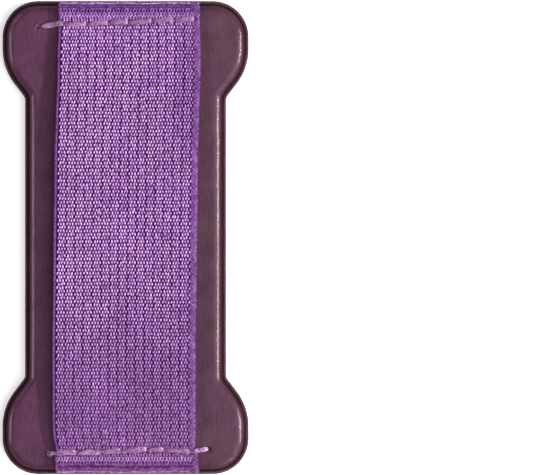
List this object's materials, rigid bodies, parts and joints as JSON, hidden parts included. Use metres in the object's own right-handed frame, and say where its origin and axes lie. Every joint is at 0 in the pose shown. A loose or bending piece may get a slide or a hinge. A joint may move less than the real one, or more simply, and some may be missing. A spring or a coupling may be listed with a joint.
{
  "type": "stretching strap",
  "caption": "Bone-shaped padded leather hand strap with a wide woven elastic band sewn lengthwise across its face, for grip and stretching exercises.",
  "frame": {"origin": "centre of the back face, on the surface that the pad lies on", "axes": "+Y along the pad from lobe to lobe, +X across it, +Z out of the face that carries the elastic band"},
  "size_m": [0.0644, 0.1238, 0.0073],
  "materials": {
    "cover_leather": "plum dyed leather, heat-pressed, satin sheen with fine grain",
    "backing_leather": "plum leather back, flat and more matt",
    "core_felt": "dense felt filler",
    "elastic_webbing": "purple woven elastic, staggered raised rows, smooth selvedges",
    "sewing_thread": "thick mauve twisted thread"
  },
  "bodies": {
    "pad": {"back_cover": "backing_leather", "front_cover": "cover_leather", "core_pad": "core_felt", "band_top_end": "elastic_webbing", "band_bottom_end": "elastic_webbing", "band_top_span": "elastic_webbing", "band_bottom_span": "elastic_webbing", "top_needle_thread": "sewing_thread", "bottom_needle_thread": "sewing_thread", "top_bobbin_thread": "sewing_thread", "bottom_bobbin_thread": "sewing_thread"},
    "band": {"band_middle": "elastic_webbing"}
  },
  "joints": [
    {"name": "band_lift", "type": "slide", "parent": "pad", "child": "band", "axis": [0, 0, 1], "range_m": [0, 0.028], "stiffness_N_per_m": 350, "deforming": ["band_top_span", "band_bottom_span"]}
  ]
}
